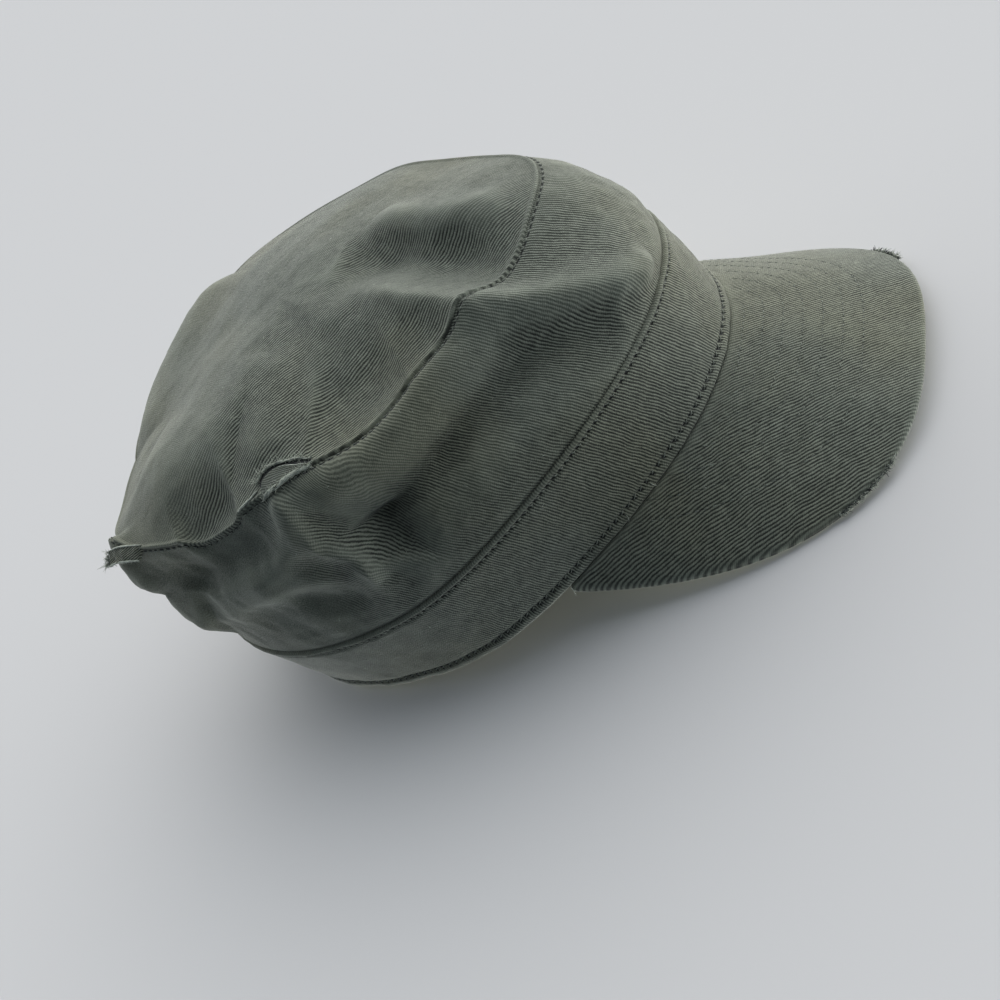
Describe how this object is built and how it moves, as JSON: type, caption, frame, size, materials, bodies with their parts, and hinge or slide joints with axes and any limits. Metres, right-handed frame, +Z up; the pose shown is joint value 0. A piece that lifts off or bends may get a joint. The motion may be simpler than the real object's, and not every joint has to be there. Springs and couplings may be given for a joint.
{
  "type": "soft military-style cap",
  "caption": "Soft flat-topped cloth cap with a sewn band, a creased crown wall, an oval top panel and a stiff sloping peak.",
  "frame": {"origin": "under the middle of the whole cap, on the surface that it stands on", "axes": "+Z up, -Y towards the peak (the wearer's front), +X to the wearer's left; the rim leans forward by about 7 degrees, as the cap stands on the peak's edge and the back of the rim"},
  "size_m": [0.166, 0.2624, 0.107],
  "materials": {
    "band_twill": "grey-green cotton twill, matt, doubled and topstitched",
    "crown_twill": "grey-green cotton twill, matt, washed and creased",
    "peak_twill": "grey-green cotton twill over a stiff board, with rows of stitching and worn edges"
  },
  "bodies": {
    "root": {"band": "band_twill", "crown_side": "crown_twill", "crown_top": "crown_twill", "peak": "peak_twill"}
  },
  "joints": []
}
